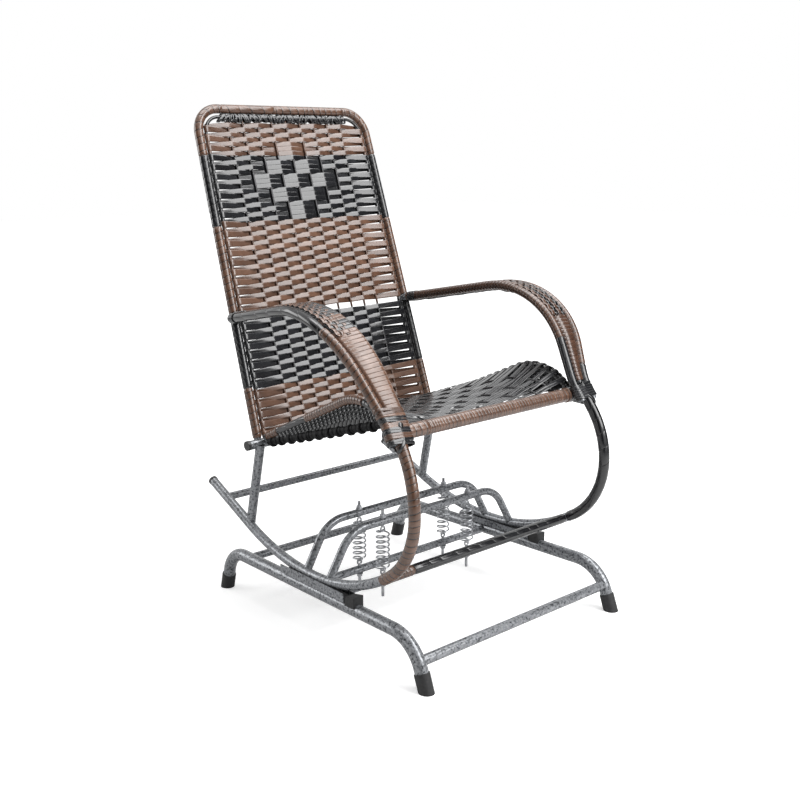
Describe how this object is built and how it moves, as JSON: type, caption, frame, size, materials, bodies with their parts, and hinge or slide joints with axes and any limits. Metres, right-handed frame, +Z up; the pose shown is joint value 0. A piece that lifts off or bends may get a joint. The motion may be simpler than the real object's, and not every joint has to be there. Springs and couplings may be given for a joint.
{
  "type": "wicker rocking chair",
  "caption": "Rocking chair of bent steel tube with a woven strand seat, back and arms, rocking on a fixed base that holds it down with tension springs.",
  "frame": {"origin": "on the floor, in the middle of the chair's box", "axes": "+Z up, the sitter faces -Y, +X to the sitter's left"},
  "size_m": [0.6312, 0.7548, 1.007],
  "materials": {
    "grey_paint": "grey speckled hammer paint on steel tube",
    "brown_strand": "satin brown plastic strand, paler where it is stretched flat",
    "black_strand": "satin black plastic strand with grey glints",
    "zinc": "bright zinc plate on wire and threaded hardware",
    "black_rubber": "matt black moulded rubber",
    "black_plastic": "matt black moulded plug"
  },
  "bodies": {
    "base": {"base_side_tube_right": "grey_paint", "base_side_tube_left": "grey_paint", "foot_caps": "black_rubber", "base_front_crossbar": "grey_paint", "base_rear_crossbar": "grey_paint", "channel_right": "grey_paint", "channel_left": "grey_paint", "rubber_pad_right": "black_rubber", "rubber_pad_left": "black_rubber", "rubber_stop_right": "black_rubber", "rubber_stop_left": "black_rubber", "spring_bar_rear": "grey_paint", "spring_bar_front": "grey_paint", "spring_rear_right": "zinc", "spring_rear_left": "zinc", "spring_front_right": "zinc", "spring_front_left": "zinc", "lower_eye_bolts": "zinc", "lower_washers": "zinc", "lower_nuts": "zinc"},
    "chair": {"runner_right": "grey_paint", "runner_left": "grey_paint", "runner_plugs": "black_plastic", "rear_upper_crossbar": "grey_paint", "front_lower_crossbar": "grey_paint", "front_lower_wrap": "black_strand", "loop_wrap_right": "brown_strand", "loop_wrap_left": "black_strand", "strut_right": "grey_paint", "strut_left": "grey_paint", "rear_seat_crossbar": "grey_paint", "seat_front_rail": "grey_paint", "front_rail_wrap": "brown_strand", "seat_bar_plugs": "black_plastic", "seat_bow_right": "grey_paint", "seat_bow_left": "grey_paint", "bow_wraps": "brown_strand", "seat_chord_right": "grey_paint", "seat_chord_left": "grey_paint", "seat_side_weave_right": "black_strand", "seat_side_weave_left": "black_strand", "seat_weave": "black_strand", "back_frame": "grey_paint", "back_wrap": "brown_strand", "back_inner_rod": "grey_paint", "back_weave": "brown_strand", "arm_outer_tube_right": "grey_paint", "arm_outer_tube_left": "grey_paint", "arm_inner_tube_right": "grey_paint", "arm_inner_tube_left": "grey_paint", "arm_wraps_right": "brown_strand", "arm_wraps_left": "brown_strand", "arm_weave_right": "brown_strand", "arm_weave_left": "brown_strand", "arch_rear": "grey_paint", "arch_front": "grey_paint", "upper_eye_bolts": "zinc", "upper_washers": "zinc", "upper_nuts": "zinc"}
  },
  "joints": [
    {"name": "rock", "type": "hinge", "parent": "base", "child": "chair", "pos_m": [0, -0.02184, 0.1087], "axis": [1, 0, 0], "range_deg": [-9, 4], "stiffness_Nm_per_rad": 170, "springref_deg": 2.06, "deforming": ["spring_rear_right", "spring_rear_left", "spring_front_right", "spring_front_left", "rubber_pad_right", "rubber_pad_left"]}
  ]
}
